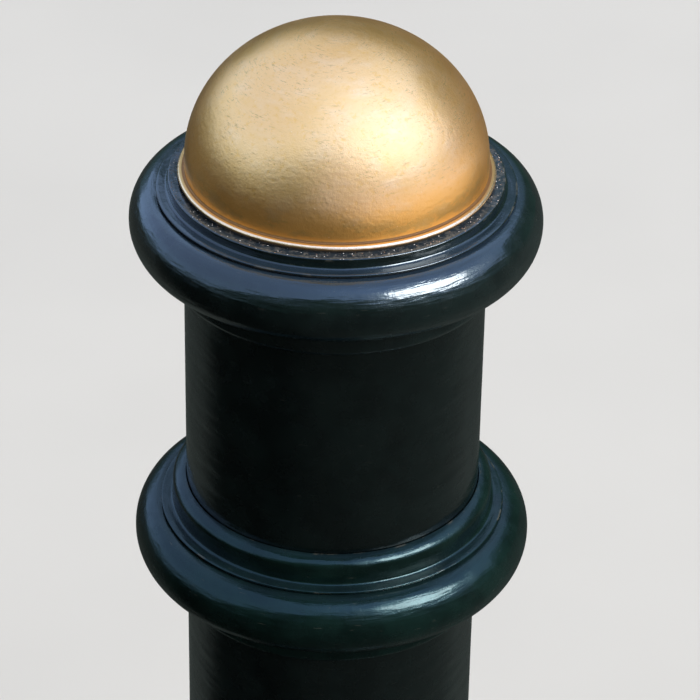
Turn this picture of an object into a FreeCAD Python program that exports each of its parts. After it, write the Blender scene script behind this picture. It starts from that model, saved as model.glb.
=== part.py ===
"""Surface-mounted steel safety bollard with two ring collars and a gilded dome head.

A concrete-filled steel tube stands on a round flange that bolts to the ground. A moulded cover hides the
flange, two ring collars are slipped over the tube, and the head is a spun dome on a round plate whose
spigot plugs into the top of the tube. Units are millimetres. The origin is the centre of the footprint on
the ground, and +Z points up. The front of the post faces -Y, and the collar screws are on the +Y side.
"""
import FreeCAD, Part
import math
import os

# ---- driving dimensions -------------------------------------------------------------------------------
TOTAL_HEIGHT = 900.0
TUBE_RADIUS = 84.15            # 168.3 mm structural steel tube
TUBE_WALL = 5.0
TUBE_BORE = TUBE_RADIUS - TUBE_WALL
SLIP = 0.3                     # radial clearance of the rings and the spigot on the tube
THREAD_GAP = 0.08              # radial gap that stands for a thread
SCREW_GAP = 0.3                # space between a backed-off screw's tip and what it presses on
WELD_GAP = 0.08                # root gap between the gussets and the tube
STUD_CLEARANCE = 0.5           # radial clearance of plain holes on the stud

# dome head, from the crown down
DOME_RADIUS = 83.2
DOME_RISE = 75.0               # height of the rounded part
DOME_WALL = 3.0
LIP_RADIUS = 87.1
LIP_THICK = 3.0
DOME_SKIRT = 6.0               # straight wall between the lip and the rounded part
SEAL_THICK = 1.0
HEAD_PLATE_RADIUS = 92.5
HEAD_PLATE_THICK = 7.6
HEAD_PLATE_ROUND = 0.8         # rounded top edge
REGISTER_HEIGHT = 5.0          # raised disc on the plate that centres the dome
LISTEL_RADIUS = 99.0           # thin flange at the foot of the plate, and the same step on the rings
LISTEL_THICK = 1.5
GASKET_THICK = 0.8

DOME_SPRING = TOTAL_HEIGHT - DOME_RISE              # where the rounded part starts
LIP_TOP = DOME_SPRING - DOME_SKIRT
LIP_BOTTOM = LIP_TOP - LIP_THICK
HEAD_PLATE_TOP = LIP_BOTTOM - SEAL_THICK
HEAD_PLATE_BOTTOM = HEAD_PLATE_TOP - HEAD_PLATE_THICK
TUBE_TOP = HEAD_PLATE_BOTTOM - GASKET_THICK
DOME_INNER = DOME_RADIUS - DOME_WALL

# ring collars; heights are from the widest point of the ring
RING_RADIUS = 114.0
RING_CROWN = 100.0             # where the rounded edge meets the flat top
RING_HALF = 18.0               # half the height of the rounded part
LISTEL_GAP = 0.8               # height of the groove under the step, as the gasket leaves on the upper ring
GROOVE_DEPTH = 1.5
NECK_RADIUS = 92.0             # bead above or below the ring
NECK_HEIGHT = 16.0
NECK_ROUND = 5.5               # its rounded shoulder
COVE = 1.5                     # inside fillet where the step meets the bead
RING_SPACING = 205.0
UPPER_RING_Z = TUBE_TOP - RING_HALF
LOWER_RING_Z = UPPER_RING_Z - RING_SPACING
GROOVE_RADIUS = LISTEL_RADIUS - GROOVE_DEPTH
LISTEL_EDGE = LISTEL_RADIUS - LISTEL_THICK / 2      # centre of the step's half-round edge
NECK_END = RING_HALF + LISTEL_GAP + LISTEL_THICK + NECK_HEIGHT
RING_BORE = TUBE_RADIUS + SLIP

# base flange and its cover
PLATE_RADIUS = 137.5
PLATE_THICK = 16.0
ANCHOR_CIRCLE = 115.0          # radius of the anchor bolt circle
ANCHOR_HOLE = 9.0
ANCHOR_COUNT = 4
VENT_RADIUS = 20.0
GUSSET_REACH = 38.0
GUSSET_HEIGHT = 44.0
GUSSET_THICK = 8.0
COVER_RADIUS = 150.0
COVER_LIFT = 1.0               # gap under the cover, so that the flange carries the post
COVER_BAND = 26.0              # height of the upright band at the foot
COVER_ROLL = 13.0              # radius of the rounded roll above the band
COVER_SWEEP_R = 40.5           # radial size of the hollow sweep
COVER_SWEEP_Z = 49.0
COVER_WALL = 5.0
COVER_TOP_BEAD = 4.0           # radius of the half-round bead at the top
COVER_LEDGE = 2.5              # ledge between the band and the roll
COVER_GRIP = 20.0              # height of the solid collar that grips the tube, below the bead
COVER_SCREW_DROP = 8.0         # from the foot of the bead down to the screws

BAND_TOP = COVER_LIFT + COVER_BAND
ROLL_TOP = BAND_TOP + 2 * COVER_ROLL
SWEEP_RADIUS = COVER_RADIUS - COVER_LEDGE - COVER_ROLL    # where the hollow sweep leaves the roll
SWEEP_TOP = ROLL_TOP + COVER_SWEEP_Z
COVER_NECK = SWEEP_RADIUS - COVER_SWEEP_R
COVER_TOP = SWEEP_TOP + 2 * COVER_TOP_BEAD
COVER_SCREW_Z = SWEEP_TOP - COVER_SCREW_DROP

# inside the tube and the head
CORE_TOP = 740.0
SPIGOT_LENGTH = 48.0
SPIGOT_WALL = 4.0
SPIGOT_OUTER = TUBE_BORE - SLIP
BOSS_RADIUS = 26.0
BOSS_DEPTH = 16.0              # from the inside of the crown down
DOME_INNER_TOP = TOTAL_HEIGHT - DOME_WALL

# fasteners
COLLAR_SCREW_RADIUS = 4.0
COLLAR_SCREW_ANGLES = (30.0, 90.0, 150.0)
COLLAR_SCREW_RECESS = 2.0
COLLAR_SCREW_CLEARANCE = 0.25  # radial clearance where the screws pass through the tube
COVER_SCREW_RADIUS = 3.0
COVER_SCREW_ANGLES = (90.0, 210.0, 330.0)
COVER_SCREW_RECESS = 0.5
STUD_RADIUS = 6.0
STUD_BELOW_NUT = 6.0
STUD_BELOW_CROWN = 3.0
STUD_CHAMFER = 1.2
WASHER_RADIUS = 15.0
WASHER_THICK = 2.5
SPRING_WASHER_RADIUS = 10.5
SPRING_WASHER_BORE = STUD_RADIUS + 0.2
SPRING_WASHER_THICK = 3.0
SPRING_WASHER_SPLIT = 1.0
NUT_FLATS = 19.0
NUT_HEIGHT = 10.0

WASHER_LOW = HEAD_PLATE_BOTTOM - WASHER_THICK
SPRING_WASHER_LOW = WASHER_LOW - SPRING_WASHER_THICK
NUT_LOW = SPRING_WASHER_LOW - NUT_HEIGHT
STUD_LOW = NUT_LOW - STUD_BELOW_NUT
STUD_TOP = DOME_INNER_TOP - STUD_BELOW_CROWN

Z_AXIS = FreeCAD.Vector(0, 0, 1)
ORIGIN = FreeCAD.Vector(0, 0, 0)


# ---- drawing helpers ----------------------------------------------------------------------------------
def at(r, z):
    """A profile point, r from the axis and z above the ground."""
    return FreeCAD.Vector(r, 0, z)


def line(a, b):
    return Part.LineSegment(a, b).toShape()


def quarter(a, b, centre):
    """A quarter of an ellipse from a to b about centre."""
    corner = a + b - centre
    curve = Part.BSplineCurve()
    curve.buildFromPolesMultsKnots([a, corner, b], [3, 3], [0, 1], False, 2, [1, math.sqrt(0.5), 1])
    return curve.toShape()


def roll(low, high):
    """A half circle that stands out from the upright line between low and high."""
    middle = (low + high) / 2
    return Part.Arc(low, middle + at((high - low).Length / 2, 0), high).toShape()


def turned(edges):
    """The solid that a closed profile makes when it is turned about the post's axis."""
    face = Part.Face(Part.Wire(Part.__sortEdges__(edges)))
    return face.revolve(ORIGIN, Z_AXIS, 360)


def ring(r_in, r_out, z_low, z_high):
    """A plain ring, or a disc if r_in is 0."""
    solid = Part.makeCylinder(r_out, z_high - z_low, at(0, z_low))
    if r_in > 0:
        solid = solid.cut(Part.makeCylinder(r_in, z_high - z_low, at(0, z_low)))
    return solid


def around(shape, angles):
    """Copies of a shape turned about the post's axis."""
    copies = []
    for angle in angles:
        copy = shape.copy()
        copy.rotate(ORIGIN, Z_AXIS, angle)
        copies.append(copy)
    return Part.makeCompound(copies)


def spaced(count, first=0.0):
    return [first + 360.0 * i / count for i in range(count)]


def hexagon(across_flats, height):
    """A hexagonal prism standing on the origin."""
    corner = across_flats / math.sqrt(3)
    angles = [math.radians(a) for a in spaced(6) + [360.0]]
    points = [FreeCAD.Vector(corner * math.cos(a), corner * math.sin(a), 0) for a in angles]
    return Part.Face(Part.makePolygon(points)).extrude(FreeCAD.Vector(0, 0, height))


def radial_hole(radius, r_low, r_high, z):
    """A drill from r_low to r_high along +X at height z."""
    return Part.makeCylinder(radius, r_high - r_low, at(r_low, z), FreeCAD.Vector(1, 0, 0))


def set_screw(radius, r_tip, r_end, z):
    """A socket set screw along +X with a coned tip at r_tip and a hexagon socket in its outer end."""
    cone = 0.4 * radius
    body = radial_hole(radius, r_tip + cone, r_end, z)
    tip = Part.makeCone(radius - cone, radius, cone, at(r_tip, z), FreeCAD.Vector(1, 0, 0))
    socket = hexagon(radius, radius)
    socket.rotate(ORIGIN, FreeCAD.Vector(0, 1, 0), -90)
    socket.translate(at(r_end, z))
    return body.fuse(tip).cut(socket).removeSplitter()


# ---- ring collars -------------------------------------------------------------------------------------
def neck(z, side):
    """Step and bead on one side of a ring, from its crown to the bore; side is 1 above and -1 below."""
    crown = z + side * RING_HALF
    step = crown + side * LISTEL_GAP
    foot = step + side * LISTEL_THICK
    shoulder = foot + side * (NECK_HEIGHT - NECK_ROUND)
    end = foot + side * NECK_HEIGHT
    low, high = sorted((step, foot))
    return [
        line(at(RING_CROWN, crown), at(GROOVE_RADIUS, crown)),
        line(at(GROOVE_RADIUS, crown), at(GROOVE_RADIUS, step)),
        line(at(GROOVE_RADIUS, step), at(LISTEL_EDGE, step)),
        roll(at(LISTEL_EDGE, low), at(LISTEL_EDGE, high)),
        line(at(LISTEL_EDGE, foot), at(NECK_RADIUS + COVE, foot)),
        quarter(at(NECK_RADIUS + COVE, foot), at(NECK_RADIUS, foot + side * COVE),
                at(NECK_RADIUS + COVE, foot + side * COVE)),
        line(at(NECK_RADIUS, foot + side * COVE), at(NECK_RADIUS, shoulder)),
        quarter(at(NECK_RADIUS, shoulder), at(RING_BORE, end), at(RING_BORE, shoulder)),
    ]


def collar(z, top_bead):
    """A ring collar whose widest point is at height z, bored for three set screws."""
    centre = at(RING_CROWN, z)
    edges = [
        quarter(at(RING_CROWN, z - RING_HALF), at(RING_RADIUS, z), centre),
        quarter(at(RING_RADIUS, z), at(RING_CROWN, z + RING_HALF), centre),
    ]
    edges += neck(z, -1)
    top = z + RING_HALF
    if top_bead:
        edges += neck(z, 1)
        top = z + NECK_END
    else:
        edges.append(line(at(RING_CROWN, top), at(RING_BORE, top)))
    edges.append(line(at(RING_BORE, top), at(RING_BORE, z - NECK_END)))
    drill = radial_hole(COLLAR_SCREW_RADIUS + THREAD_GAP, TUBE_BORE, RING_RADIUS + 1, z)
    return turned(edges).cut(around(drill, COLLAR_SCREW_ANGLES))


def collar_screws(z, r_tip):
    screw = set_screw(COLLAR_SCREW_RADIUS, r_tip, RING_RADIUS - COLLAR_SCREW_RECESS, z)
    return around(screw, COLLAR_SCREW_ANGLES)


# ---- the post -----------------------------------------------------------------------------------------
def post_tube():
    tube = ring(TUBE_BORE, TUBE_RADIUS, PLATE_THICK, TUBE_TOP)
    hole = COLLAR_SCREW_RADIUS + COLLAR_SCREW_CLEARANCE
    drill = radial_hole(hole, TUBE_BORE - 1, TUBE_RADIUS + 1, UPPER_RING_Z)
    return tube.cut(around(drill, COLLAR_SCREW_ANGLES))


def concrete_core():
    return ring(0, TUBE_BORE, PLATE_THICK, CORE_TOP)


def base_plate():
    plate = ring(VENT_RADIUS, PLATE_RADIUS, 0, PLATE_THICK)
    hole = Part.makeCylinder(ANCHOR_HOLE, PLATE_THICK, at(ANCHOR_CIRCLE, 0))
    return plate.cut(around(hole, spaced(ANCHOR_COUNT, 45.0)))


def base_gussets():
    toe = 6.0
    inner = TUBE_RADIUS
    outer = TUBE_RADIUS + GUSSET_REACH
    corners = [at(inner, PLATE_THICK), at(outer, PLATE_THICK), at(outer, PLATE_THICK + toe),
               at(inner + toe, PLATE_THICK + GUSSET_HEIGHT), at(inner, PLATE_THICK + GUSSET_HEIGHT)]
    blade = Part.Face(Part.makePolygon(corners + corners[:1]))
    blade.translate(FreeCAD.Vector(0, -GUSSET_THICK / 2, 0))
    blade = blade.extrude(FreeCAD.Vector(0, GUSSET_THICK, 0))
    blade = blade.cut(ring(0, TUBE_RADIUS + WELD_GAP, 0, TUBE_TOP))
    return around(blade, spaced(ANCHOR_COUNT))


def base_cover():
    """A hollow moulded skirt with an upright band, a roll, a hollow sweep and a bead that meets the tube."""
    outside = [
        line(at(COVER_RADIUS, COVER_LIFT), at(COVER_RADIUS, BAND_TOP)),
        line(at(COVER_RADIUS, BAND_TOP), at(SWEEP_RADIUS, BAND_TOP)),
        roll(at(SWEEP_RADIUS, BAND_TOP), at(SWEEP_RADIUS, ROLL_TOP)),
        quarter(at(SWEEP_RADIUS, ROLL_TOP), at(COVER_NECK, SWEEP_TOP), at(SWEEP_RADIUS, SWEEP_TOP)),
        roll(at(COVER_NECK, SWEEP_TOP), at(COVER_NECK, COVER_TOP)),
        line(at(COVER_NECK, COVER_TOP), at(RING_BORE, COVER_TOP)),
        line(at(RING_BORE, COVER_TOP), at(RING_BORE, COVER_LIFT)),
        line(at(RING_BORE, COVER_LIFT), at(COVER_RADIUS, COVER_LIFT)),
    ]
    band_in = COVER_RADIUS - COVER_WALL
    sweep_in = SWEEP_RADIUS - COVER_WALL
    neck_in = COVER_NECK - COVER_WALL
    band_roof = BAND_TOP - COVER_WALL
    roll_roof = ROLL_TOP - COVER_WALL
    hollow = [
        line(at(0, 0), at(band_in, 0)),
        line(at(band_in, 0), at(band_in, band_roof)),
        line(at(band_in, band_roof), at(sweep_in, band_roof)),
        line(at(sweep_in, band_roof), at(sweep_in, roll_roof)),
        quarter(at(sweep_in, roll_roof), at(neck_in, SWEEP_TOP), at(sweep_in, SWEEP_TOP)),
        line(at(neck_in, SWEEP_TOP), at(0, SWEEP_TOP)),
        line(at(0, SWEEP_TOP), at(0, 0)),
    ]
    void = turned(hollow).cut(ring(0, COVER_RADIUS, SWEEP_TOP - COVER_GRIP, COVER_TOP))
    drill = radial_hole(COVER_SCREW_RADIUS + THREAD_GAP, TUBE_RADIUS, COVER_RADIUS, COVER_SCREW_Z)
    return turned(outside).cut(void).cut(around(drill, COVER_SCREW_ANGLES))


def base_cover_screws():
    r_end = COVER_NECK - COVER_SCREW_RECESS
    screw = set_screw(COVER_SCREW_RADIUS, TUBE_RADIUS + THREAD_GAP, r_end, COVER_SCREW_Z)
    return around(screw, COVER_SCREW_ANGLES)


# ---- the head -----------------------------------------------------------------------------------------
def dome():
    """A spun shell with a turned-out lip."""
    crown = at(0, TOTAL_HEIGHT)
    inner_crown = at(0, DOME_INNER_TOP)
    centre = at(0, DOME_SPRING)
    lip_edge = LIP_RADIUS - LIP_THICK / 2
    return turned([
        quarter(at(DOME_RADIUS, DOME_SPRING), crown, centre),
        line(crown, inner_crown),
        quarter(inner_crown, at(DOME_INNER, DOME_SPRING), centre),
        line(at(DOME_INNER, DOME_SPRING), at(DOME_INNER, LIP_BOTTOM)),
        line(at(DOME_INNER, LIP_BOTTOM), at(lip_edge, LIP_BOTTOM)),
        roll(at(lip_edge, LIP_BOTTOM), at(lip_edge, LIP_TOP)),
        line(at(lip_edge, LIP_TOP), at(DOME_RADIUS, LIP_TOP)),
        line(at(DOME_RADIUS, LIP_TOP), at(DOME_RADIUS, DOME_SPRING)),
    ])


def dome_seal():
    return ring(DOME_INNER + SLIP, LIP_RADIUS - LIP_THICK / 2, HEAD_PLATE_TOP, LIP_BOTTOM)


def dome_boss():
    """The threaded boss inside the crown. Its top takes the curve of the shell."""
    inner_crown = at(0, DOME_INNER_TOP)
    centre = at(0, DOME_SPRING)
    inside = turned([
        quarter(at(DOME_INNER, DOME_SPRING), inner_crown, centre),
        line(inner_crown, centre),
        line(centre, at(DOME_INNER, DOME_SPRING)),
    ])
    blank = ring(STUD_RADIUS + THREAD_GAP, BOSS_RADIUS, DOME_INNER_TOP - BOSS_DEPTH, TOTAL_HEIGHT)
    return blank.common(inside)


def dome_stud():
    shank = ring(0, STUD_RADIUS, STUD_LOW + STUD_CHAMFER, STUD_TOP)
    end = Part.makeCone(STUD_RADIUS - STUD_CHAMFER, STUD_RADIUS, STUD_CHAMFER, at(0, STUD_LOW))
    return shank.fuse(end).removeSplitter()


def dome_washer():
    return ring(STUD_RADIUS + STUD_CLEARANCE, WASHER_RADIUS, WASHER_LOW, HEAD_PLATE_BOTTOM)


def dome_spring_washer():
    """A split spring washer, closed up flat as it is when the nut is tight."""
    coil = ring(SPRING_WASHER_BORE, SPRING_WASHER_RADIUS, SPRING_WASHER_LOW, WASHER_LOW)
    corner = FreeCAD.Vector(0, -SPRING_WASHER_SPLIT / 2, SPRING_WASHER_LOW)
    split = Part.makeBox(2 * SPRING_WASHER_RADIUS, SPRING_WASHER_SPLIT, SPRING_WASHER_THICK, corner)
    return coil.cut(split)


def dome_nut():
    """A hexagon nut whose lower corners are cut by a 45 degree cone."""
    blank = hexagon(NUT_FLATS, NUT_HEIGHT)
    end_radius = NUT_FLATS / 2
    nut = blank.common(Part.makeCone(end_radius, end_radius + NUT_HEIGHT, NUT_HEIGHT))
    nut.translate(at(0, NUT_LOW))
    return nut.cut(ring(0, STUD_RADIUS + THREAD_GAP, NUT_LOW, SPRING_WASHER_LOW))


def head_plate():
    """A round plate with a thin flange at its foot and a raised disc that centres the dome."""
    flange_top = HEAD_PLATE_BOTTOM + LISTEL_THICK
    register_r = DOME_INNER - SLIP
    register_top = HEAD_PLATE_TOP + REGISTER_HEIGHT
    bore = STUD_RADIUS + STUD_CLEARANCE
    rim = HEAD_PLATE_ROUND
    return turned([
        line(at(bore, HEAD_PLATE_BOTTOM), at(LISTEL_EDGE, HEAD_PLATE_BOTTOM)),
        roll(at(LISTEL_EDGE, HEAD_PLATE_BOTTOM), at(LISTEL_EDGE, flange_top)),
        line(at(LISTEL_EDGE, flange_top), at(HEAD_PLATE_RADIUS + COVE, flange_top)),
        quarter(at(HEAD_PLATE_RADIUS + COVE, flange_top), at(HEAD_PLATE_RADIUS, flange_top + COVE),
                at(HEAD_PLATE_RADIUS + COVE, flange_top + COVE)),
        line(at(HEAD_PLATE_RADIUS, flange_top + COVE), at(HEAD_PLATE_RADIUS, HEAD_PLATE_TOP - rim)),
        quarter(at(HEAD_PLATE_RADIUS, HEAD_PLATE_TOP - rim), at(HEAD_PLATE_RADIUS - rim, HEAD_PLATE_TOP),
                at(HEAD_PLATE_RADIUS - rim, HEAD_PLATE_TOP - rim)),
        line(at(HEAD_PLATE_RADIUS - rim, HEAD_PLATE_TOP), at(register_r, HEAD_PLATE_TOP)),
        line(at(register_r, HEAD_PLATE_TOP), at(register_r, register_top)),
        line(at(register_r, register_top), at(bore, register_top)),
        line(at(bore, register_top), at(bore, HEAD_PLATE_BOTTOM)),
    ])


def head_spigot():
    low = HEAD_PLATE_BOTTOM - SPIGOT_LENGTH
    return ring(SPIGOT_OUTER - SPIGOT_WALL, SPIGOT_OUTER, low, HEAD_PLATE_BOTTOM)


def head_gasket():
    return ring(TUBE_BORE, GROOVE_RADIUS, TUBE_TOP, HEAD_PLATE_BOTTOM)


# ---- what is written ----------------------------------------------------------------------------------
NODES = {
    "base_plate": base_plate(),
    "base_gussets": base_gussets(),
    "base_cover": base_cover(),
    "base_cover_screws": base_cover_screws(),
    "post_tube": post_tube(),
    "concrete_core": concrete_core(),
    "lower_collar": collar(LOWER_RING_Z, top_bead=True),
    "lower_collar_screws": collar_screws(LOWER_RING_Z, TUBE_RADIUS + THREAD_GAP),
    "upper_collar": collar(UPPER_RING_Z, top_bead=False),
    "upper_collar_screws": collar_screws(UPPER_RING_Z, SPIGOT_OUTER + SCREW_GAP),
    "head_gasket": head_gasket(),
    "head_plate": head_plate(),
    "head_spigot": head_spigot(),
    "dome": dome(),
    "dome_seal": dome_seal(),
    "dome_boss": dome_boss(),
    "dome_stud": dome_stud(),
    "dome_washer": dome_washer(),
    "dome_spring_washer": dome_spring_washer(),
    "dome_nut": dome_nut(),
}

os.makedirs("parts", exist_ok=True)
for name, shape in NODES.items():
    box = shape.BoundBox
    print(f"{name}: {len(shape.Solids)} solid(s), {shape.Volume / 1000:.1f} cm3, "
          f"z {box.ZMin:.1f} to {box.ZMax:.1f}, valid {shape.isValid()}")
    shape.exportStep(f"parts/{name}.step")
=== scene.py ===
"""Looks of the steel safety bollard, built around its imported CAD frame.

The painted pieces and the dome are turned again as fine meshes from the CAD nodes' own outlines, with soft
edges and the slight waviness of thick brushed paint or spun metal. The other nodes keep their CAD meshes
and get better materials. Lengths are in metres, +Z is up and -Y is the front. Azimuth 0 is the front and
90 the right side. Colours are linear RGB.
"""

import math

import bmesh
import bpy
import numpy as np
from mathutils import Matrix, Vector


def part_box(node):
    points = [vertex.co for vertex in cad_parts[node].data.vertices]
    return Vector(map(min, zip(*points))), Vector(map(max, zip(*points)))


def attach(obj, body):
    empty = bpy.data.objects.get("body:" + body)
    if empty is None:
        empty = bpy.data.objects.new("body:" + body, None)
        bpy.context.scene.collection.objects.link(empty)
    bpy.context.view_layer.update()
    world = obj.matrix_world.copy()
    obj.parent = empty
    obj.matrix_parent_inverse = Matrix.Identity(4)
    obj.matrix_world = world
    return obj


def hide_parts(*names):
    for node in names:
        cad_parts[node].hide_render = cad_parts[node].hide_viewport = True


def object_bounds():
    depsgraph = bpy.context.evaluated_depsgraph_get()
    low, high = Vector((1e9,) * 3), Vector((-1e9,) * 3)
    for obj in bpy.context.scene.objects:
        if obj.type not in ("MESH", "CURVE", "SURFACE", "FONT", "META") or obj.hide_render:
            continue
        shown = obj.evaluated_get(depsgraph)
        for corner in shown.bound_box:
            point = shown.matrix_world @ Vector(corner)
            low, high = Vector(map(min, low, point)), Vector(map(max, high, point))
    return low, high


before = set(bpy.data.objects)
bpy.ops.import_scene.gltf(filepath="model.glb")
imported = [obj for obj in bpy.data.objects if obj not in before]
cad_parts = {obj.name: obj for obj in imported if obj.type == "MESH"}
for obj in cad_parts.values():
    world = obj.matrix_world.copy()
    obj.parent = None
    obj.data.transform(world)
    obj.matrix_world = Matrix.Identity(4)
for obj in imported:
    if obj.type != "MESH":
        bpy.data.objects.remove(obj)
cad_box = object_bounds()

MM = 0.001
TOUCH = 0.001 * MM             # points nearer than this are one point
FINE = 0.2 * MM                # spacing of the points that an outline is worked out at
CORNER = math.cos(math.radians(25))   # runs that turn more than this meet in a corner
BEND_STEP = math.radians(11)   # most turn between two rings of a mesh
HIDDEN_STEP = 14 * MM          # spacing of rings on a bore
STRAIGHT = 2.5                 # a run this many times longer than the next one is a straight one
INWARD = -0.5                  # outward share of the normal under which a surface is a bore
BEND_BLUR = 0.8 * MM           # an edge's bend is evened out over this
BEND_RADIUS = 1.2 * MM         # an edge rounded to this radius or less is a tight one
SEGMENTS = 400                 # round a turned piece
POLE_RADIUS = 0.02 * MM        # points this near the axis become one
POLE_REACH = 0.1 * MM          # where they are this near to each other
SCREW_CLEARANCE = 0.08 * MM    # round each screw
DRILL_LENGTH = 44 * MM         # half of it goes in from the screw's outer end
DRILL_SIDES = 48


# ---- outlines -----------------------------------------------------------------------------------------
def outline(node):
    """The (r, z) outline of a turned CAD node, cut from its mesh on the +X side, anticlockwise, and
    whether it is closed. An open one starts and ends on the axis."""
    cut = bmesh.new()
    cut.from_mesh(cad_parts[node].data)
    bmesh.ops.remove_doubles(cut, verts=cut.verts, dist=TOUCH)
    everything = cut.verts[:] + cut.edges[:] + cut.faces[:]
    bmesh.ops.bisect_plane(cut, geom=everything, dist=TOUCH, plane_co=(0, 0, 0), plane_no=(0, 1, 0))
    links = {v: [] for v in cut.verts if abs(v.co.y) < 2 * TOUCH and v.co.x > -TOUCH}
    for a, b in (edge.verts for edge in cut.edges):
        if a in links and b in links:
            links[a].append(b)
            links[b].append(a)
    ends = [v for v in links if len(links[v]) == 1]
    path = [ends[0] if ends else next(iter(links))]
    ahead = links[path[0]]
    while ahead:
        path.append(ahead[0])
        ahead = [v for v in links[path[-1]] if v not in path]
    points = np.array([(v.co.x, v.co.z) for v in path])
    cut.free()
    after = np.roll(points, -1, axis=0)
    area = (points[:, 0] * after[:, 1] - after[:, 0] * points[:, 1]).sum()
    return (points if area > 0 else points[::-1]), not ends


def heading(before, after, run_before, run_after):
    """The outline's direction where two runs meet smoothly: a straight run's own, or one between the two."""
    if run_before > STRAIGHT * run_after:
        return before
    if run_after > STRAIGHT * run_before:
        return after
    way = before * run_after + after * run_before
    return way / np.linalg.norm(way)


def curved(points, closed):
    """The outline as even fine steps, curved through its smooth runs and straight into its corners."""
    if closed:
        points = np.vstack([points, points[:1]])
    step = np.diff(points, axis=0)
    run = np.hypot(step[:, 0], step[:, 1])
    way = step / run[:, None]
    last = len(run) - 1
    dense = []
    for i in range(len(run)):
        start = end = way[i]
        if (i > 0 or closed) and way[i - 1] @ way[i] > CORNER:
            start = heading(way[i - 1], way[i], run[i - 1], run[i])
        after = (i + 1) % len(run)
        if (i < last or closed) and way[i] @ way[after] > CORNER:
            end = heading(way[i], way[after], run[i], run[after])
        t = np.linspace(0, 1, max(2, int(run[i] / FINE) + 1), endpoint=False)[:, None]
        dense.append((2 * t**3 - 3 * t**2 + 1) * points[i] + (3 * t**2 - 2 * t**3) * points[i + 1]
                     + run[i] * ((t**3 - 2 * t**2 + t) * start + (t**3 - t**2) * end))
    dense = np.vstack(dense + [points[-1:]])
    along = np.concatenate([[0], np.cumsum(np.hypot(*np.diff(dense, axis=0).T))])
    even = np.linspace(0, along[-1], int(along[-1] / FINE) + 1)
    return np.stack([np.interp(even, along, dense[:, k]) for k in (0, 1)], axis=1)


def blurred(values, width, closed, mirror=1):
    """Values along an outline, evened out over width. An open one carries on mirrored past its ends."""
    reach = int(4 * width / FINE) + 1
    weight = np.exp(-0.5 * (np.arange(-reach, reach + 1) * FINE / width) ** 2)
    if closed:
        padded = np.concatenate([values[-reach - 1:-1], values, values[1:reach + 1]])
    else:
        padded = np.concatenate([mirror * values[reach:0:-1], values, mirror * values[-2:-reach - 2:-1]])
    return np.convolve(padded, weight / weight.sum(), mode="valid")


def soft_outline(node, softness, spacing):
    """A turned piece's rings: their r and z, their distance along the outline, how the edge bends there (+1
    for a tight outer edge, -1 for an inner corner) and which face outward or along the axis."""
    points, closed = outline(node)
    fine = curved(points, closed)
    soft = [blurred(fine[:, 0], softness, closed, mirror=-1), blurred(fine[:, 1], softness, closed)]
    fine = np.stack(soft, axis=1)
    step = np.diff(fine, axis=0, append=fine[1:2] if closed else fine[-1:])
    step[-1] = step[0] if closed else step[-2]
    turn = np.diff(np.unwrap(np.arctan2(step[:, 1], step[:, 0])), append=0)
    turn[-1] = 0
    outward = step[:, 1] / np.hypot(step[:, 0], step[:, 1])
    hidden = outward < INWARD
    gap = np.where(hidden, HIDDEN_STEP, spacing)
    count = np.cumsum(FINE / gap + np.abs(turn) / BEND_STEP)
    rings = np.linspace(0, count[-1], int(count[-1]) + 1)
    if closed:
        rings = rings[:-1]
    along = np.arange(len(fine)) * FINE
    bend = np.tanh(blurred(turn, BEND_BLUR, closed) / FINE * BEND_RADIUS)

    def pick(values):
        return np.interp(rings, count - count[0], values)

    return {"r": pick(fine[:, 0]), "z": pick(fine[:, 1]), "along": pick(along), "bend": pick(bend),
            "outside": pick(np.where(hidden, 0.0, 1.0)), "closed": closed}


# ---- uneven surfaces ----------------------------------------------------------------------------------
# large odd numbers that scatter the cells of noise()
SCATTER = np.array([73856093, 19349663, 83492791])
SCATTER_SEED = 2654435761
SCATTER_AGAIN = 1274126177
SEED_SHIFT = 17.3              # in cells, so that no two seeds share their cell walls


def noise(points, size, seed):
    """Smooth noise with features about size across. Each cell's corner has a value of 16 scattered bits,
    spread over -1 to 1."""
    place = points / size + seed * SEED_SHIFT
    cell = np.floor(place).astype(np.int64)
    share = place - cell
    share = share * share * (3 - 2 * share)
    total = np.zeros(len(points))
    for corner in np.ndindex(2, 2, 2):
        x, y, z = ((cell + corner) * SCATTER).T
        code = x ^ y ^ z ^ (seed * SCATTER_SEED)
        code = ((code ^ (code >> 13)) * SCATTER_AGAIN) & 0xFFFFFFFF
        code = (code ^ (code >> 16)) & 0xFFFF
        total += (code / 32767.5 - 1) * np.where(corner, share, 1 - share).prod(axis=1)
    return total


def brushed_paint(points, along, deep):
    """How far thick paint lies below its highest skin: a wavy casting, sags, and strokes round the post."""
    strokes = np.column_stack([points[:, :2] * 0.22, along])
    wave = noise(points, 34 * MM, 1) + 0.6 * noise(points, 13 * MM, 2)
    sag = noise(strokes, 5.5 * MM, 3) + 0.45 * noise(strokes, 2.6 * MM, 4)
    return -deep * (1.6 + 0.45 * wave + 0.32 * sag) / 2


def spun_metal(points, along, deep):
    """How far a spun shell lies below its highest skin: waves left by handling, and traces of the turning."""
    turned = np.column_stack([points[:, :2] * 0.3, along])
    wave = 0.8 * noise(points, 38 * MM, 5) + 0.35 * noise(points, 15 * MM, 6)
    return -deep * (1.5 + wave + 0.18 * noise(turned, 6 * MM, 7)) / 2


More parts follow.
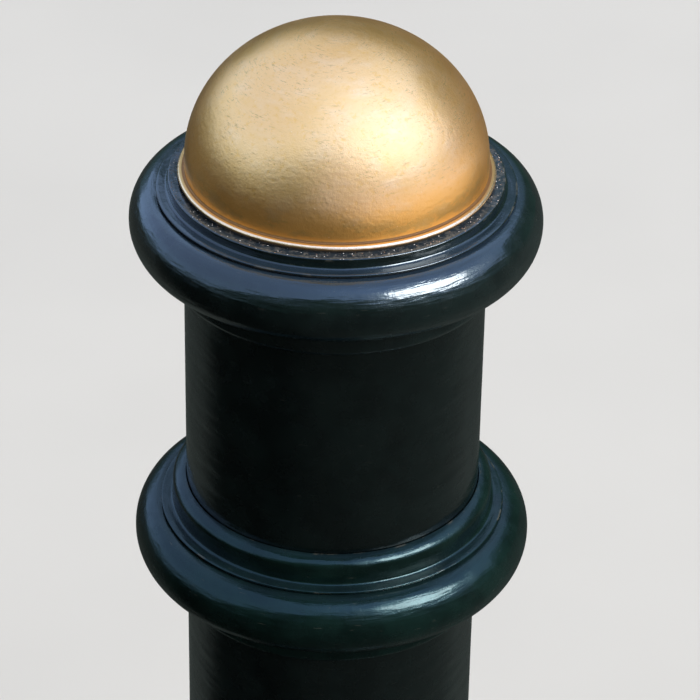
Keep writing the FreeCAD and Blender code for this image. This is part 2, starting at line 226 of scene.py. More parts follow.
def turned_piece(node, name, body, surface, deep, softness, spacing):
    """A fine mesh of a turned CAD node, which takes the node's place."""
    line = soft_outline(node, softness, spacing)
    rings = len(line["r"])
    angle = np.arange(SEGMENTS) * 2 * math.pi / SEGMENTS
    wide = np.ones((1, SEGMENTS))
    place = np.stack([line["r"][:, None] * np.cos(angle), line["r"][:, None] * np.sin(angle),
                      line["z"][:, None] * wide], axis=2).reshape(-1, 3)
    along, bend, outside = (np.repeat(line[k], SEGMENTS) for k in ("along", "bend", "outside"))
    ring = np.arange(rings if line["closed"] else rings - 1)[:, None]
    column = np.arange(SEGMENTS)[None, :]
    low, high = ring * SEGMENTS, (ring + 1) % rings * SEGMENTS
    beside = (column + 1) % SEGMENTS
    faces = np.stack([low + column, low + beside, high + beside, high + column], axis=2).reshape(-1, 4)

    mesh = bpy.data.meshes.new(name)
    mesh.from_pydata(place.tolist(), [], faces.tolist())
    for key, values in (("along", along), ("bend", bend)):
        mesh.attributes.new(key, "FLOAT", "POINT").data.foreach_set("value", values.astype(np.float32))
    normal = np.zeros(len(place) * 3, np.float32)
    mesh.vertex_normals.foreach_get("vector", normal)
    push = surface(place, along, deep) * outside
    place = place + normal.reshape(-1, 3) * push[:, None]
    mesh.vertices.foreach_set("co", place.astype(np.float32).ravel())

    tidy = bmesh.new()
    tidy.from_mesh(mesh)
    if not line["closed"]:
        pole = [v for v in tidy.verts if v.co.xy.length < POLE_RADIUS]
        bmesh.ops.remove_doubles(tidy, verts=pole, dist=POLE_REACH)
    tidy.to_mesh(mesh)
    tidy.free()
    mesh.shade_smooth()
    piece = bpy.data.objects.new(name, mesh)
    bpy.context.scene.collection.objects.link(piece)
    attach(piece, body)
    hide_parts(node)
    return piece


def screw_axes(screws):
    """Each radial screw's outer end, outward direction and radius in a CAD node, in order round the post."""
    loose = bmesh.new()
    loose.from_mesh(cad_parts[screws].data)
    bmesh.ops.remove_doubles(loose, verts=loose.verts, dist=TOUCH)
    waiting = set(loose.verts)
    found = []
    while waiting:
        screw, rim = set(), {next(iter(waiting))}
        while rim:
            screw |= rim
            rim = {edge.other_vert(v) for v in rim for edge in v.link_edges} - screw
        waiting -= screw
        low, high = min(v.co.z for v in screw), max(v.co.z for v in screw)
        middle = sum((v.co for v in screw), Vector()) / len(screw)
        out = Vector((middle.x, middle.y, 0)).normalized()
        reach = max(v.co.dot(out) for v in screw)
        found.append((out * reach + Vector((0, 0, (low + high) / 2)), out, (high - low) / 2))
    loose.free()
    return sorted(found, key=lambda axis: math.atan2(axis[1].y, axis[1].x))


def drill(piece, screws):
    """Opens a hole in a piece round each screw of a CAD node."""
    bits = bmesh.new()
    for end, out, radius in screw_axes(screws):
        bore = radius + SCREW_CLEARANCE
        turn = out.to_track_quat("Z", "Y").to_matrix().to_4x4()
        bmesh.ops.create_cone(bits, cap_ends=True, segments=DRILL_SIDES, radius1=bore, radius2=bore,
                              depth=DRILL_LENGTH, matrix=Matrix.Translation(end) @ turn)
    mesh = bpy.data.meshes.new("drill")
    bits.to_mesh(mesh)
    bits.free()
    tool = bpy.data.objects.new("drill", mesh)
    bpy.context.scene.collection.objects.link(tool)
    cut = piece.modifiers.new("holes", "BOOLEAN")
    cut.operation = "DIFFERENCE"
    cut.solver = "EXACT"
    cut.object = tool
    drilled = bpy.data.meshes.new_from_object(piece.evaluated_get(bpy.context.evaluated_depsgraph_get()))
    piece.modifiers.clear()
    piece.data = drilled
    bpy.data.objects.remove(tool)


# ---- materials ----------------------------------------------------------------------------------------
class Finish:
    """A material on the Principled shader, with short calls for its nodes."""

    def __init__(self, name, **constants):
        self.material = bpy.data.materials.new(name)
        self.material.use_nodes = True
        self.tree = self.material.node_tree
        self.shader = self.tree.nodes["Principled BSDF"]
        for socket, value in constants.items():
            self.put(self.shader.inputs[socket.replace("_", " ")], value)

    def put(self, socket, value):
        """Links or sets a socket."""
        if isinstance(value, bpy.types.NodeSocket):
            self.tree.links.new(value, socket)
        elif socket.type == "RGBA" and len(value) == 3:
            socket.default_value = (*value, 1)
        else:
            socket.default_value = value

    def node(self, kind, inputs=(), **settings):
        made = self.tree.nodes.new("ShaderNode" + kind)
        for key, value in settings.items():
            setattr(made, key, value)
        for key, value in dict(inputs).items():
            self.put(made.inputs[key], value)
        return made

    def math(self, operation, a, b=0.0, clamp=False):
        return self.node("Math", {0: a, 1: b}, operation=operation, use_clamp=clamp).outputs[0]

    def plus(self, a, b, clamp=False):
        return self.math("ADD", a, b, clamp)

    def minus(self, a, b, clamp=False):
        return self.math("SUBTRACT", a, b, clamp)

    def times(self, a, b):
        return self.math("MULTIPLY", a, b)

    def span(self, value, low, high, to_low=0.0, to_high=1.0, smooth=True):
        """Value's span from low to high, spread over to_low to to_high."""
        return self.node("MapRange", {0: value, 1: low, 2: high, 3: to_low, 4: to_high},
                         interpolation_type="SMOOTHSTEP" if smooth else "LINEAR").outputs[0]

    def mix(self, share, a, b):
        """A colour that goes from a to b as share goes from 0 to 1."""
        made = self.node("Mix", data_type="RGBA")
        for key, value in (("Factor", share), ("A", a), ("B", b)):
            socket = [s for s in made.inputs if s.name == key and s.enabled][0]
            self.put(socket, value)
        return [s for s in made.outputs if s.enabled][0]

    def place(self):
        """Where a point is on the object at rest."""
        return self.node("TexCoord").outputs["Object"]

    def parts(self):
        return self.node("SeparateXYZ", {0: self.place()}).outputs

    def attribute(self, name):
        """A value that turned_piece() keeps on the mesh: along or bend."""
        return self.node("Attribute", attribute_name=name).outputs["Fac"]

    def strokes(self, stretch):
        """Coordinates that run fast across an outline and slowly round the post."""
        x, y, _ = self.parts()
        return self.node("CombineXYZ", {0: self.times(x, stretch), 1: self.times(y, stretch),
                                        2: self.attribute("along")}).outputs[0]

    def noise(self, size, place=None, detail=3.0, roughness=0.5):
        """Noise about 0.5 with features about size across."""
        made = self.node("TexNoise", {"Vector": place or self.place(), "Scale": 1 / size})
        self.put(made.inputs["Detail"], detail)
        self.put(made.inputs["Roughness"], roughness)
        return made.outputs["Fac"]

    def specks(self, cell, share, size):
        """Dots of a radius of size, in a share of the cells of a fine grid."""
        cells = self.node("TexVoronoi", {"Vector": self.place(), "Scale": 1 / cell, "Randomness": 1.0})
        chosen = self.node("SeparateColor", {0: cells.outputs["Color"]}).outputs[0]
        dot = self.span(cells.outputs["Distance"], size / cell, 0.5 * size / cell)
        return self.times(dot, self.math("LESS_THAN", chosen, share))

    def facing_up(self, low, high):
        """0 to 1 as the upward part of the surface's normal goes from low to high."""
        normal = self.node("NewGeometry").outputs["Normal"]
        return self.span(self.node("SeparateXYZ", {0: normal}).outputs[2], low, high)

    def bump(self, height, depth, normal=None):
        """A normal bent by a height that is depth deep, on top of another bump's."""
        inputs = {"Height": height, "Distance": depth, "Strength": 1.0}
        if normal is not None:
            inputs["Normal"] = normal
        return self.node("Bump", inputs).outputs[0]

    def finish(self, **sockets):
        """The material, once the shader's sockets are linked or set."""
        for socket, value in sockets.items():
            self.put(self.shader.inputs[socket.replace("_", " ")], value)
        return self.material


GOLD_DEEP = (0.91, 0.44, 0.095)
GOLD_PALE = (0.97, 0.53, 0.19)
GOLD_RUBBED = (0.98, 0.60, 0.29)
GOLD_SCRATCH = (0.56, 0.32, 0.10)
# painted shade: a browner gold for patches low on the dome
GOLD_FOOT_SHADE = (0.50, 0.27, 0.05)
# gold polish, used as well for a painted highlight on the lip's upper edge
GOLD_POLISH_AND_HIGHLIGHT = (1.0, 0.70, 0.42)
GOLD_LEDGE = (0.80, 0.46, 0.16)    # the top of the lip, inside its polished edge
GOLD_CREASE_SHADE = (0.30, 0.14, 0.04)   # the corner where the lip meets the dome
GOLD_DIRT_AND_SHADE = (0.05, 0.035, 0.02)   # the foot of the lip
GOLD_SHINE = {"Metallic": 0.88, "Specular_Tint": (1.0, 0.84, 0.58), "Coat_Weight": 0.35,
              "Coat_Roughness": 0.24, "Coat_IOR": 1.5, "Sheen_Weight": 0.25, "Sheen_Roughness": 0.07,
              "Sheen_Tint": (1.0, 0.88, 0.66)}
# each pair is where a finish starts and where it is full, above the dome's foot or in from the lip's rim
LIP_RISE = (4.4 * MM, 3.6 * MM)
POLISH_HIGHLIGHT_RISE = (1.6 * MM, 1.9 * MM)
DIRT_AND_SHADE_RISE = (1.8 * MM, 1.5 * MM)
POLISH_HIGHLIGHT_INSET = (1.2 * MM, 0.9 * MM)
RIM_WAVER = 0.25 * MM          # how far the polish with its painted highlight and the dirt with its painted shade stray up and down


def gold():
    """Satin gold brushed over a spun shell: rippled and flecked along the strokes, with a rim of polish.
    Painted shade darkens it towards the foot, in the lip's crease and under the lip; the rim's upper edge
    carries a painted highlight.
    """
    m = Finish("dome_gold", **GOLD_SHINE)
    x, y, z = m.parts()
    across = m.math("SQRT", m.plus(m.times(x, x), m.times(y, y)))
    low, high = (corner.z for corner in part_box("dome"))
    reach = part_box("dome")[1].x
    height = m.span(z, low, high, smooth=False)
    ripple = m.noise(2.4 * MM, m.strokes(0.45), detail=3.0, roughness=0.6)
    grains = m.noise(3.0 * MM, detail=5.0, roughness=0.68)
    fine = m.noise(0.9 * MM, detail=2.0)
    clouds = m.noise(26 * MM, detail=5.0, roughness=0.6)
    patches = m.noise(9 * MM, m.strokes(0.5), detail=5.0, roughness=0.65)
    fleck_zone = m.span(m.noise(13 * MM, detail=2.0), 0.40, 0.60, 0.15, 1.0)
    fleck_zone = m.times(fleck_zone, m.span(height, 0.20, 0.45))
    flecks = m.span(m.noise(1.0 * MM, m.strokes(0.22), detail=5.0, roughness=0.75), 0.54, 0.66)
    flecks = m.times(flecks, fleck_zone)
    pits = m.times(m.specks(1.5 * MM, share=0.35, size=0.34 * MM), fleck_zone)
    bright = m.specks(4 * MM, share=0.35, size=0.30 * MM)

    # painted shade: the gold goes from deep at the foot to pale higher up
    pale = m.times(m.span(clouds, 0.25, 0.65, 0.55, 1.0), m.span(height, 0.08, 0.34))
    colour = m.mix(pale, GOLD_DEEP, GOLD_PALE)
    colour = m.mix(m.span(patches, 0.45, 0.75, 0.0, 0.5), colour, GOLD_RUBBED)
    colour = m.mix(m.span(grains, 0.48, 0.30, 0.0, 0.7), colour, GOLD_DEEP)
    colour = m.mix(m.times(m.math("MAXIMUM", flecks, pits), 0.8), colour, GOLD_SCRATCH)
    # painted shade: darker, browner patches towards the foot
    foot = m.times(m.span(height, 0.30, 0.08), m.span(patches, 0.46, 0.58))
    colour = m.mix(m.times(foot, 0.45), colour, GOLD_FOOT_SHADE)
    colour = m.mix(m.times(bright, 0.7), colour, GOLD_POLISH_AND_HIGHLIGHT)

    waver = m.span(m.noise(7 * MM, detail=3.0), 0.3, 0.7, -RIM_WAVER, RIM_WAVER, smooth=False)
    rim = m.plus(z, waver)
    lip = m.span(z, *(low + rise for rise in LIP_RISE))
    outer = m.times(m.span(across, *(reach - inset for inset in POLISH_HIGHLIGHT_INSET)), lip)
    # polish and a painted highlight: the lip's upper outer edge is lighter and smoother where it catches the
    # light
    polish_and_highlight = m.times(outer, m.span(rim, *(low + rise for rise in POLISH_HIGHLIGHT_RISE)))
    # painted shade in the inner corner where the lip meets the dome
    crease_shade = m.times(m.span(m.attribute("bend"), -0.08, -0.35), lip)
    # dirt and painted shade: the lip's foot, under its rim, is darkened
    dirt_and_shade = m.span(rim, *(low + rise for rise in DIRT_AND_SHADE_RISE))
    colour = m.mix(m.times(polish_and_highlight, 0.8), colour, GOLD_POLISH_AND_HIGHLIGHT)
    colour = m.mix(m.times(m.minus(lip, outer), 0.85), colour, GOLD_LEDGE)
    colour = m.mix(m.times(crease_shade, 0.9), colour, GOLD_CREASE_SHADE)
    colour = m.mix(m.times(dirt_and_shade, 0.85), colour, GOLD_DIRT_AND_SHADE)

    roughness = m.plus(m.span(clouds, 0.3, 0.7, 0.30, 0.36), m.times(flecks, 0.12))
    roughness = m.minus(roughness, m.times(polish_and_highlight, 0.12))
    roughness = m.plus(roughness, m.times(m.math("MAXIMUM", dirt_and_shade, crease_shade), 0.35))
    normal = m.bump(patches, 0.20 * MM)
    for relief, depth in ((ripple, 0.08), (grains, 0.20), (fine, 0.04), (bright, 0.05), (pits, -0.04)):
        normal = m.bump(relief, depth * MM, normal)
    coat_normal = m.bump(grains, 0.09 * MM)
    return m.finish(Base_Color=colour, Roughness=roughness, Normal=normal, Coat_Normal=coat_normal)


PAINT_DARK = (0.0010, 0.0022, 0.0022)
PAINT_LIGHT = (0.0020, 0.0042, 0.0040)
# painted light: a greener copy of the ring paint for the lower ring and the base cover, standing in for the
# greener light they show
LOW_PAINT_DARK = (0.0009, 0.0029, 0.0024)
LOW_PAINT_LIGHT = (0.0017, 0.0056, 0.0046)
PAINT_WORN = (0.045, 0.042, 0.034)
# a pale bluish layer for up-facing paint, partly a weathered bloom and partly a painted sky reflection
PAINT_FILM_AND_SKY = (0.022, 0.038, 0.064)
DUST = (0.17, 0.145, 0.115)
GRIT = (0.80, 0.74, 0.72)
GRIT_BROWN = (0.30, 0.16, 0.10)
COOL = (0.85, 1.0, 0.97)       # tints of the paint's hazy reflections
TEAL = (0.52, 0.85, 0.83)
WORN_GLOSS = 0.1               # weight of the clear skin that is left where the paint is worn


def paint(name, dark, light, gloss, haze, tint, film_and_sky, strokes_deep, wear, dust=0.0, dusty_above=0.0,
          dusty_below=0.0):
    """Thick brushed gloss, near-black green: a clear skin of weight gloss over a coat with a hazy reflection.
    Where it looks up it has a pale bluish layer, partly a weathered bloom and partly a painted sky
    reflection;
    it has dull worn edges, scuffs and a few chips, and on the surfaces between two heights that look up, dust
    and grit. The layer's share, wear and dust say how much, from 0 to 1."""
    m = Finish(name, Coat_Roughness=0.055, Specular_IOR_Level=haze, Specular_Tint=tint)
    strokes = m.noise(2.8 * MM, m.strokes(0.11), detail=3.0, roughness=0.6)
    sag = m.noise(9 * MM, m.strokes(0.25), detail=2.0)
    peel = m.noise(2.2 * MM, detail=2.0)
    grain = m.noise(0.7 * MM, m.strokes(0.5), detail=2.0, roughness=0.6)
    patches = m.noise(24 * MM, detail=5.0, roughness=0.6)

    edges = m.times(m.span(m.attribute("bend"), 0.25, 0.8),
                    m.span(m.noise(3.5 * MM, m.strokes(0.3), detail=4.0), 0.55, 0.66))
    scuffs = m.span(m.noise(1.3 * MM, m.strokes(0.12)), 0.70, 0.76, 0.0, 0.5)
    chips = m.times(m.span(m.noise(3.2 * MM, m.strokes(0.5), detail=4.0, roughness=0.65), 0.715, 0.735),
                    m.span(patches, 0.50, 0.56))
    worn = m.times(m.plus(m.math("MAXIMUM", edges, scuffs), chips, clamp=True), wear)
    colour = m.mix(m.span(patches, 0.35, 0.65), dark, light)
    # painted sky reflection, partly a weathered bloom: up-facing paint gets a pale bluish layer
    colour = m.mix(m.times(m.facing_up(0.93, 1.0), film_and_sky), colour, PAINT_FILM_AND_SKY)
    colour = m.mix(worn, colour, PAINT_WORN)
    roughness = m.span(m.noise(9 * MM, detail=4.0), 0.3, 0.7, 0.20, 0.30)
    roughness = m.plus(roughness, m.times(worn, 0.2))
    clear = m.span(worn, 0.0, 1.0, gloss, WORN_GLOSS)
    skin = m.bump(sag, 0.7 * MM)
    skin = m.bump(strokes, strokes_deep, skin)
    skin = m.bump(peel, 0.05 * MM, skin)
    if dust:
        z = m.parts()[2]
        up = m.times(m.facing_up(0.85, 0.99), m.math("GREATER_THAN", z, dusty_above))
        up = m.times(up, m.math("LESS_THAN", z, dusty_below))
        up = m.times(up, dust)
        lying = m.times(up, m.span(m.noise(2.6 * MM, detail=5.0, roughness=0.7), 0.44, 0.70, 0.02, 0.32))
        colour = m.mix(lying, colour, DUST)
        grit = m.times(m.specks(1.7 * MM, share=0.6, size=0.36 * MM), up)
        stone = m.mix(m.span(m.noise(1.5 * MM, detail=0.0), 0.4, 0.6), GRIT, GRIT_BROWN)
        colour = m.mix(grit, colour, stone)
        roughness = m.plus(roughness, m.times(lying, 0.4), clamp=True)
        roughness = m.plus(roughness, m.times(grit, 0.5), clamp=True)
        clear = m.minus(clear, m.plus(lying, grit), clamp=True)
        skin = m.bump(grit, 0.15 * MM, skin)
    normal = m.bump(grain, 0.05 * MM, skin)
    return m.finish(Base_Color=colour, Roughness=roughness, Normal=normal, Coat_Weight=clear,
                    Coat_Normal=skin)


def metal(name, dark, light, rough, grain, crystals=0.0):
    """Plated steel: mottled, a little scratched, with a spangle of crystals if it is hot-dip galvanised.
    Grain and crystals are sizes."""
    m = Finish(name, Metallic=0.75)
    mottle = m.noise(grain, detail=5.0, roughness=0.65)
    tone = m.span(mottle, 0.35, 0.65)
    if crystals:
        cells = m.node("TexVoronoi", {"Vector": m.place(), "Scale": 1 / crystals})
        facet = m.node("SeparateColor", {0: cells.outputs["Color"]}).outputs[0]
        tone = m.plus(m.times(tone, 0.5), m.times(facet, 0.5))
    colour = m.mix(tone, dark, light)
    scratch = m.span(m.noise(0.6 * MM, detail=2.0), 0.62, 0.72)
    roughness = m.span(mottle, 0.3, 0.7, rough - 0.08, rough + 0.08)
    roughness = m.plus(roughness, m.times(scratch, 0.10), clamp=True)
    normal = m.bump(mottle, 0.03 * MM)
    normal = m.bump(scratch, 0.01 * MM, normal)
    return m.finish(Base_Color=colour, Roughness=roughness, Normal=normal)


RUBBER = (0.008, 0.008, 0.007)
RUBBER_DUST = (0.050, 0.040, 0.030)


def rubber():
    """Matt black rubber, browned with road dust at its edge."""
    m = Finish("seal_rubber")
    dust = m.span(m.noise(4 * MM, detail=5.0, roughness=0.7), 0.42, 0.66, 0.15, 0.85)
    colour = m.mix(dust, RUBBER, RUBBER_DUST)
    normal = m.bump(m.noise(0.7 * MM), 0.05 * MM)
    return m.finish(Base_Color=colour, Roughness=m.span(dust, 0.0, 1.0, 0.55, 0.9), Normal=normal)


CEMENT_DARK = (0.30, 0.29, 0.27)
CEMENT_LIGHT = (0.45, 0.44, 0.41)
SAND = (0.20, 0.19, 0.175)
STONE = (0.34, 0.30, 0.25)
PINHOLE_SHADE = (0.09, 0.088, 0.08)


def cast_concrete():
    """Grey cast concrete with sand, small stones and pinholes, the pinholes darkened with painted shade."""
    m = Finish("concrete")
    sand = m.noise(0.9 * MM, detail=3.0)
    stones = m.node("TexVoronoi", {"Vector": m.place(), "Scale": 1 / (9 * MM)})
    tone = m.node("SeparateColor", {0: stones.outputs["Color"]}).outputs[1]
    colour = m.mix(m.span(m.noise(14 * MM, detail=5.0), 0.3, 0.7), CEMENT_DARK, CEMENT_LIGHT)
    colour = m.mix(m.span(sand, 0.45, 0.75, 0.0, 0.45), colour, SAND)
    colour = m.mix(m.times(m.math("LESS_THAN", tone, 0.2), 0.35), colour, STONE)
    holes = m.specks(7 * MM, share=0.5, size=0.8 * MM)
    # painted shade: the pinholes are darkened as well as sunk
    colour = m.mix(holes, colour, PINHOLE_SHADE)
    normal = m.bump(sand, 0.12 * MM)
    normal = m.bump(holes, -0.6 * MM, normal)
    return m.finish(Base_Color=colour, Roughness=0.9, Normal=normal)


# ---- pieces -------------------------------------------------------------------------------------------
plate_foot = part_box("head_plate")[0].z
cover_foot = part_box("base_cover")[0].z
gold_skin = gold()
ring_paint = paint("ring_paint", PAINT_DARK, PAINT_LIGHT, gloss=0.65, haze=0.32, tint=COOL, film_and_sky=0.28,
                   strokes_deep=0.32 * MM, wear=0.4)
# the lower ring gets the greener copy of the paint, which is painted light
low_ring_paint = paint("low_ring_paint", LOW_PAINT_DARK, LOW_PAINT_LIGHT, gloss=0.12, haze=0.27, tint=TEAL,
                       film_and_sky=0.05, strokes_deep=0.26 * MM, wear=0.6)
plate_paint = paint("plate_paint", PAINT_DARK, PAINT_LIGHT, gloss=0.65, haze=0.26, tint=COOL, film_and_sky=0.2,
                    strokes_deep=0.12 * MM, wear=0.6, dust=1.0, dusty_above=plate_foot + 5 * MM,
                    dusty_below=plate_foot + 9 * MM)
tube_paint = paint("tube_paint", PAINT_DARK, PAINT_LIGHT, gloss=0.65, haze=0.26, tint=COOL, film_and_sky=0.0,
                   strokes_deep=0.12 * MM, wear=0.3)
cover_paint = paint("cover_paint", LOW_PAINT_DARK, LOW_PAINT_LIGHT, gloss=0.3, haze=0.30, tint=TEAL,
                    film_and_sky=0.05, strokes_deep=0.30 * MM, wear=0.7, dust=0.6, dusty_above=cover_foot,
                    dusty_below=cover_foot + 60 * MM)

TURNED = [
    # node, name, body, slot, material, uneven surface, then in mm: its depth, edge softness, ring spacing
    ("dome", "dome_shell", "head", "dome_gold", gold_skin, spun_metal, 0.07, 0.30, 1.6),
    ("head_plate", "head_plate_painted", "head", "body_paint", plate_paint, brushed_paint, 0.05, 0.22, 1.4),
    ("upper_collar", "upper_collar_painted", "post", "body_paint", ring_paint, brushed_paint,
     0.12, 0.28, 1.3),
    ("lower_collar", "lower_collar_painted", "post", "body_paint", low_ring_paint, brushed_paint,
     0.12, 0.28, 1.5),
    ("post_tube", "post_tube_painted", "post", "tube_paint", tube_paint, brushed_paint, 0.10, 0.30, 6.5),
    ("base_cover", "base_cover_painted", "cover", "cover_paint", cover_paint, brushed_paint, 0.14, 0.45, 3.0),
]
SCREWED = {"upper_collar": "upper_collar_screws", "lower_collar": "lower_collar_screws",
           "base_cover": "base_cover_screws"}

# lamps of their own light the dome, and the painted pieces that carry a bright streak
gilded = bpy.data.collections.new("gilded")
painted = bpy.data.collections.new("painted")
for node, name, body, slot_name, material, surface, depth, softness, spacing in TURNED:
    piece = turned_piece(node, name, body, surface, depth * MM, softness * MM, spacing * MM)
    piece.data.materials.append(material)
    if node == "dome":
        gilded.objects.link(piece)
    elif node != "post_tube":
        painted.objects.link(piece)
    if node in SCREWED:
        drill(piece, SCREWED[node])


def dress(material, *nodes):
    """Gives CAD nodes that stay a better material."""
    for node in nodes:
        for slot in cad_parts[node].material_slots:
            slot.material = material


GALVANISED = (0.54, 0.52, 0.49)
dress(metal("flange_zinc", (0.32, 0.31, 0.29), GALVANISED, rough=0.45, grain=9 * MM, crystals=7 * MM),
      "base_plate", "base_gussets")
dress(metal("spigot_steel", (0.34, 0.33, 0.31), GALVANISED, rough=0.38, grain=6 * MM, crystals=5 * MM),
      "head_spigot")
dress(metal("screw_steel", (0.10, 0.10, 0.105), (0.20, 0.20, 0.205), rough=0.38, grain=2 * MM),
      "base_cover_screws", "lower_collar_screws", "upper_collar_screws")
dress(metal("fixing_steel", (0.54, 0.53, 0.51), (0.70, 0.69, 0.66), rough=0.25, grain=3 * MM),
      "dome_boss", "dome_stud", "dome_washer", "dome_spring_washer", "dome_nut")
dress(rubber(), "head_gasket", "dome_seal")
dress(cast_concrete(), "concrete_core")


# ---- stage and light ----------------------------------------------------------------------------------
FLOOR_HALF = 20.0
FLOOR_DROP = 0.2 * MM          # the floor lies this far under the flange, and the ground card under that
CARD_DROP = 0.4 * MM
FLOOR_COLOUR = (0.70, 0.69, 0.67)
FLOOR_COLOUR_LOW = (0.665, 0.6555, 0.6365)
CARD_COLOUR = (0.82, 0.98, 0.92, 1)
# azimuth in degrees, and how bright the ground is there
GROUND_GLOW = [(-180, 0.07), (-150, 0.07), (-120, 0.10), (-90, 0.01), (-45, 0.01), (0, 0.06), (45, 0.10),
               (80, 0.12), (115, 0.13), (150, 0.07), (180, 0.07)]


def plane(name, half, z, material):
    """A square on the stage, level at height z."""
    mesh = bpy.data.meshes.new(name)
    corners = [(-half, -half, z), (half, -half, z), (half, half, z), (-half, half, z)]
    mesh.from_pydata(corners, [], [(0, 1, 2, 3)])
    mesh.materials.append(material)
    floor = bpy.data.objects.new(name, mesh)
    bpy.context.scene.collection.objects.link(floor)
    return floor


def floor_material():
    """Plain and pale, in two tones that hardly differ."""
    m = Finish("floor")
    colour = m.mix(m.span(m.noise(0.5), 0.3, 0.7), FLOOR_COLOUR, FLOOR_COLOUR_LOW)
    return m.finish(Base_Color=colour, Roughness=0.9)


def round_the_post(m, way, stops):
    """A value that follows stops of azimuth and level, where way is a direction from the post."""
    x, y, _ = m.node("SeparateXYZ", {0: way}).outputs
    turn = m.math("ARCTAN2", x, m.times(y, -1.0))
    ramp = m.node("ValToRGB", {0: m.span(turn, -math.pi, math.pi, smooth=False)})
    ramp.color_ramp.interpolation = "EASE"
    points = ramp.color_ramp.elements
    while len(points) < len(stops):
        points.new(0.5)
    for point, (azimuth, level) in zip(points, stops):
        point.position = azimuth / 360 + 0.5
        point.color = (level, level, level, 1)
    return ramp.outputs[0]


def ground_card_material():
    """What gloss sees instead of the pale floor: dim ground, lightest on the right and to the left behind."""
    m = Finish("ground_card")
    strength = round_the_post(m, m.place(), GROUND_GLOW)
    glow = m.node("Emission", {"Color": CARD_COLOUR, "Strength": strength})
    m.put(m.tree.nodes["Material Output"].inputs["Surface"], glow.outputs[0])
    return m.material


def direction(azimuth, elevation):
    """The unit vector towards an azimuth and an elevation in degrees."""
    a = math.radians(azimuth)
    e = math.radians(elevation)
    return Vector((math.sin(a) * math.cos(e), -math.cos(a) * math.cos(e), math.sin(e)))


class Sky(Finish):
    """The studio's soft surround, on the world's nodes."""

    def __init__(self):
        self.world = bpy.data.worlds.new("studio")
        bpy.context.scene.world = self.world
        self.world.use_nodes = True
        self.tree = self.world.node_tree
        self.way = self.node("TexCoord").outputs["Generated"]

    def lobe(self, azimuth, elevation, half_width):
        """1 towards a direction and a half at half_width degrees away from it."""
        centre = direction(azimuth, elevation)
        near = self.node("VectorMath", {0: self.way, 1: centre}, operation="DOT_PRODUCT").outputs["Value"]
        sharpness = math.log(2) / (1 - math.cos(math.radians(half_width)))
        return self.math("EXPONENT", self.times(self.minus(near, 1.0), sharpness))


# azimuth in degrees, and the height of the softbox's edge there as a share of the way up to the zenith
SOFTBOX_EDGE = [(-180, 0.33), (-160, 0.22), (-140, 0.06), (-100, 0.08), (-70, 0.12), (-35, 0.33), (0, 0.48),
                (30, 0.30), (70, 0.12), (100, 0.22), (122, 0.41), (150, 0.40), (172, 0.375), (180, 0.34)]
# azimuth in degrees, and how far the surround under the edge is lit there
HAZE = [(-180, 0.1), (-140, 0.3), (-110, 0.6), (-76, 1.0), (-40, 0.6), (0, 0.12), (40, 1.0), (76, 0.6),
        (100, 0.15), (125, 0.0), (180, 0.1)]
RAGGED = 0.03
SOFTBOX_COOL = (0.74, 1.06, 1.86)
SOFTBOX_EDGE_COLOUR = (0.90, 1.38, 2.25)
SOFTBOX_BRIGHT = (1.20, 1.90, 3.7)
SOFTBOX_DIM = (0.56, 0.74, 1.10)
SURROUND_HAZE = (0.42, 0.64, 0.85)
SURROUND_DARK = (0.045, 0.10, 0.085)
# azimuth, elevation and half width in degrees of the surround's lighter and darker places
BRIGHT_PLACE = (58, 60, 28)
DIM_PLACE = (180, 46, 15)
FILL_PLACE = (72, 18, 42)
FILL = 2.4                     # how much of plain white light comes from there
BACKDROP = 0.42                # and from everywhere
SEEN = 0.72                    # how bright the backdrop looks, about as bright as the floor


def surround():
    """Gloss sees a cool softbox overhead, with a ragged edge and brightest up on the right, above a dim
    surround. All else is lit by plain white, brightest low on the right, and the camera sees an even
    backdrop."""
    s = Sky()
    z = s.node("SeparateXYZ", {0: s.way}).outputs[2]
    elevation = s.math("DIVIDE", s.math("ARCSINE", z), math.pi / 2)
    clouds = s.node("TexNoise", {"Vector": s.way, "Scale": 3.2, "Detail": 5.0}).outputs["Fac"]
    ragged = s.span(clouds, 0.3, 0.7, -RAGGED, RAGGED, smooth=False)
    edge = s.plus(round_the_post(s, s.way, SOFTBOX_EDGE), ragged)
    above = s.minus(elevation, edge)
    colour = s.mix(s.span(above, 0.0, 0.35), SOFTBOX_EDGE_COLOUR, SOFTBOX_COOL)
    colour = s.mix(s.lobe(*BRIGHT_PLACE), colour, SOFTBOX_BRIGHT)
    colour = s.mix(s.times(s.lobe(*DIM_PLACE), 0.8), colour, SOFTBOX_DIM)
    haze = s.times(s.span(above, -0.30, 0.0), round_the_post(s, s.way, HAZE))
    below = s.mix(haze, SURROUND_DARK, SURROUND_HAZE)
    colour = s.mix(s.span(above, -0.03, 0.04), below, colour)
    in_gloss = s.node("Background", {"Color": colour, "Strength": 1.0})
    level = s.plus(s.times(s.lobe(*FILL_PLACE), FILL), BACKDROP)
    level = s.span(s.node("LightPath").outputs["Is Camera Ray"], 0.0, 1.0, level, SEEN)
    plain = s.node("Background", {"Color": (1, 1, 1, 1), "Strength": level})
    gloss = s.node("LightPath").outputs["Is Glossy Ray"]
    both = s.node("MixShader", {0: gloss, 1: plain.outputs[0], 2: in_gloss.outputs[0]})
    s.put(s.tree.nodes["World Output"].inputs["Surface"], both.outputs[0])


# azimuth and elevation in degrees, distance, width, height, watts and colour of a lamp
KEY = (60, 48, 4.0, 0.9, 0.9, 40.0, (1.0, 0.98, 0.95))
STREAK = (59, 39, 4.0, 2.9, 2.1, 430.0, (0.92, 0.96, 1.0))
GLOW = (48, 16, 4.0, 14.5, 6.5, 262.0, (0.39, 0.50, 1.0))
HOT = (60, 58, 4.0, 5.0, 4.2, 9.5, (0.38, 0.44, 1.0))
BOUNCE = (66, -18, 1.6, 4.2, 0.7, 5.4, (1.0, 0.95, 0.82))


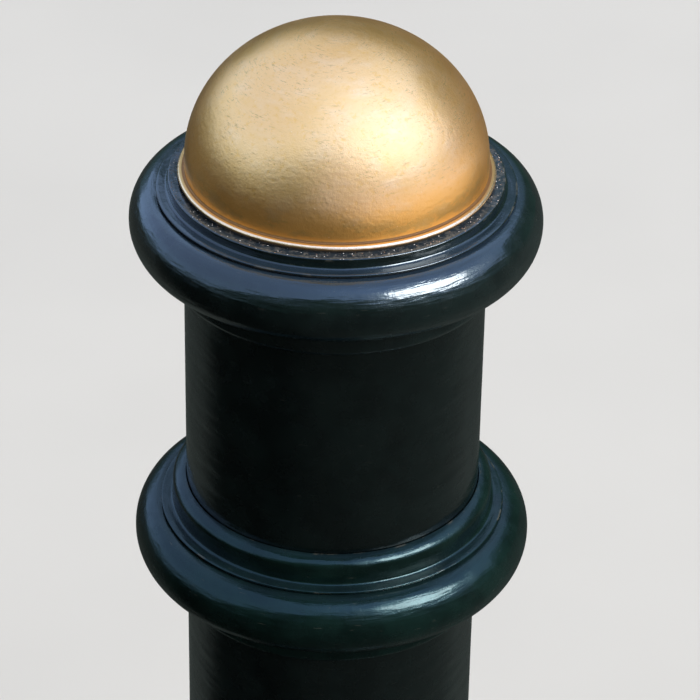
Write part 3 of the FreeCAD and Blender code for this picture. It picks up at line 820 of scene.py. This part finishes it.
def lamp(name, azimuth, elevation, distance, width, height, watts, colour):
    """A soft oval lamp that looks at the top of the post and isn't seen itself."""
    way = direction(azimuth, elevation)
    light = bpy.data.lights.new(name, "AREA")
    light.shape = "ELLIPSE"
    light.size = width
    light.size_y = height
    light.energy = watts
    light.color = colour
    made = bpy.data.objects.new(name, light)
    bpy.context.scene.collection.objects.link(made)
    made.location = Vector((0, 0, cad_box[1][2])) + way * distance
    made.rotation_euler = way.to_track_quat("Z", "Y").to_euler()
    made.visible_camera = False
    return made


floor = plane("floor", FLOOR_HALF, -FLOOR_DROP, floor_material())
floor.visible_glossy = False
card = plane("ground_card", FLOOR_HALF, -CARD_DROP, ground_card_material())
card.visible_camera = False
card.visible_diffuse = False
card.visible_shadow = False
card.visible_transmission = False
surround()
lamp("key", *KEY).visible_glossy = False
streak = lamp("streak", *STREAK)
streak.light_linking.receiver_collection = painted
for name, settings in (("glow", GLOW), ("hot", HOT), ("bounce", BOUNCE)):
    lamp(name, *settings).light_linking.receiver_collection = gilded

# ---- camera -------------------------------------------------------------------------------------------
LENS = 171.65                  # on a 36 mm sensor
VIEW_DISTANCE = 10.919         # from the upper ring's centre, in tube diameters
VIEW_ELEVATION = math.radians(30.05)
VIEW_ROLL = math.radians(1.017)
AIM_RIGHT = 0.0531             # where the view is centred, from the ring's centre, in tube diameters
AIM_BELOW = 0.5232


def camera():
    """Looks down at the top of the post from the front, at a standing person's eye height."""
    tube_low, tube_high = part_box("post_tube")
    ring_low, ring_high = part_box("upper_collar_screws")
    diameter = tube_high.x - tube_low.x
    centre = Vector((0, 0, (ring_low.z + ring_high.z) / 2))
    back = Vector((0, -math.cos(VIEW_ELEVATION), math.sin(VIEW_ELEVATION)))
    location = centre + back * VIEW_DISTANCE * diameter
    aim = centre + Vector((AIM_RIGHT, 0, -AIM_BELOW)) * diameter
    lens = bpy.data.cameras.new("camera")
    lens.lens = LENS
    lens.sensor_width = 36
    lens.clip_start = 0.05
    view = bpy.data.objects.new("camera", lens)
    bpy.context.scene.collection.objects.link(view)
    turn = (aim - location).to_track_quat("-Z", "Y").to_matrix() @ Matrix.Rotation(VIEW_ROLL, 3, "Z")
    view.matrix_world = Matrix.Translation(location) @ turn.to_4x4()
    bpy.context.scene.camera = view


camera()
bpy.context.scene.view_settings.view_transform = "Standard"
